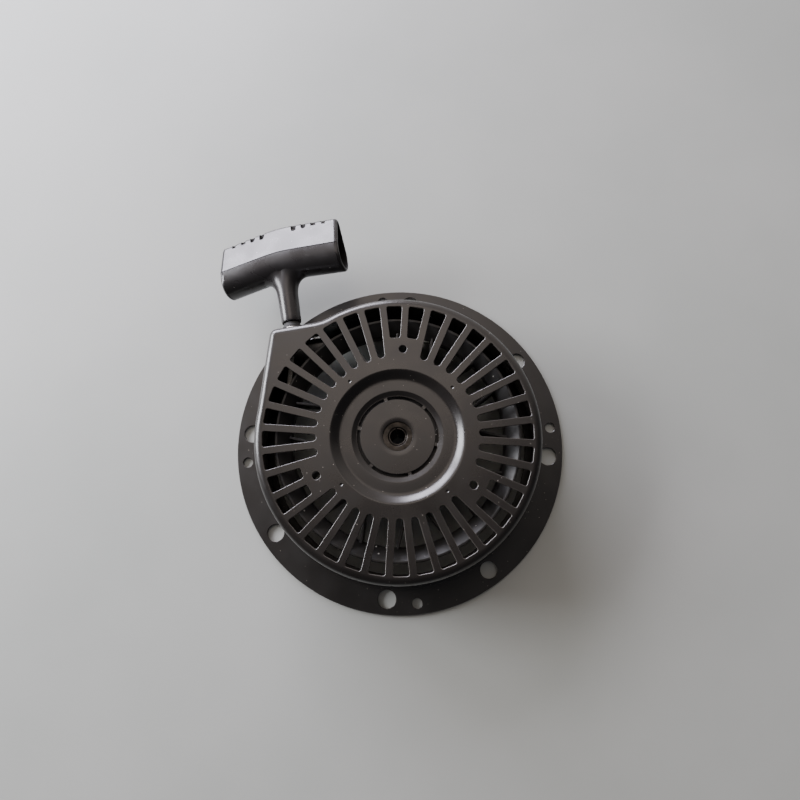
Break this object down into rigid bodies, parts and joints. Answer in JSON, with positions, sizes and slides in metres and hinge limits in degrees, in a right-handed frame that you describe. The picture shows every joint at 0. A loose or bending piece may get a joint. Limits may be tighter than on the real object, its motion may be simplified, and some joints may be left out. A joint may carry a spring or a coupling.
{
  "type": "recoil starter",
  "caption": "Recoil starter with a pressed louvred cover on a bolt ring, a rope pulley with rewind spring and starter dogs, and a T handle.",
  "frame": {"origin": "on the pulley's axis, at the mounting ring's engine face", "axes": "+Z along the pulley's axis, outward from the engine through the louvred cover; +X through a bolt hole of the first bolt pattern"},
  "size_m": [0.2963, 0.3143, 0.0653],
  "materials": {
    "cover_paint": "semi-gloss black paint",
    "ring_paint": "semi-gloss black paint",
    "zinc": "zinc plated",
    "black_steel": "blackened steel",
    "pin_steel": "oiled steel",
    "eyelet_steel": "plated steel",
    "dog_steel": "pressed steel",
    "spring_steel": "blued spring steel",
    "pulley_plastic": "matte black moulded plastic",
    "grip_plastic": "satin black moulded plastic",
    "rubber": "matte black rubber",
    "nylon": "natural nylon",
    "rope": "braided starter rope"
  },
  "bodies": {
    "housing": {"housing_cover": "cover_paint", "mounting_ring": "ring_paint", "centre_post": "black_steel", "spring_pin": "black_steel", "dog_retainer": "zinc", "rope_eyelet": "eyelet_steel", "eyelet_grommet": "rubber", "rope_run": "rope", "upper_washer": "nylon", "brake_washer": "nylon", "brake_spring": "spring_steel"},
    "pulley": {"pulley": "pulley_plastic", "rewind_spring": "spring_steel", "spring_cover": "pulley_plastic", "thrust_washer": "nylon", "dog_pivot_a": "pin_steel", "dog_pivot_b": "pin_steel", "dog_spring_a": "spring_steel", "dog_spring_b": "spring_steel", "rope_winding": "rope", "rope_knot": "rope"},
    "cam": {"cam_plate": "zinc"},
    "dog_a": {"dog_a": "dog_steel"},
    "dog_b": {"dog_b": "dog_steel"},
    "handle": {"handle_grip": "grip_plastic", "handle_insert": "pin_steel", "handle_knot": "rope", "rope_lead": "rope"}
  },
  "joints": [
    {"name": "pulley_spin", "type": "hinge", "parent": "housing", "child": "pulley", "pos_m": [0, 0, 0.03], "axis": [0, 0, -1], "range_deg": [0, 1339], "stiffness_Nm_per_rad": 0.05, "springref_deg": -687.55, "deforming": ["rewind_spring"]},
    {"name": "handle_pull", "type": "slide", "parent": "housing", "child": "handle", "axis": [-0.242, 0.9703, 0], "range_m": [0, 2.0212]},
    {"name": "cam_plate_turn", "type": "hinge", "parent": "pulley", "child": "cam", "pos_m": [0, 0, 0.015], "axis": [0, 0, 1], "range_deg": [0, 28]},
    {"name": "dog_a_swing", "type": "hinge", "parent": "pulley", "child": "dog_a", "pos_m": [0.026, 0, 0.021], "axis": [0, 0, 1], "range_deg": [0, 42.1]},
    {"name": "dog_b_swing", "type": "hinge", "parent": "pulley", "child": "dog_b", "pos_m": [-0.026, 0, 0.021], "axis": [0, 0, 1], "range_deg": [0, 42.1]}
  ],
  "couplings": [
    {"joint": "handle_pull", "follows": "pulley_spin", "m_per_rad": 0.0864},
    {"joint": "dog_a_swing", "follows": "cam_plate_turn", "ratio": 1.5},
    {"joint": "dog_b_swing", "follows": "cam_plate_turn", "ratio": 1.5}
  ]
}
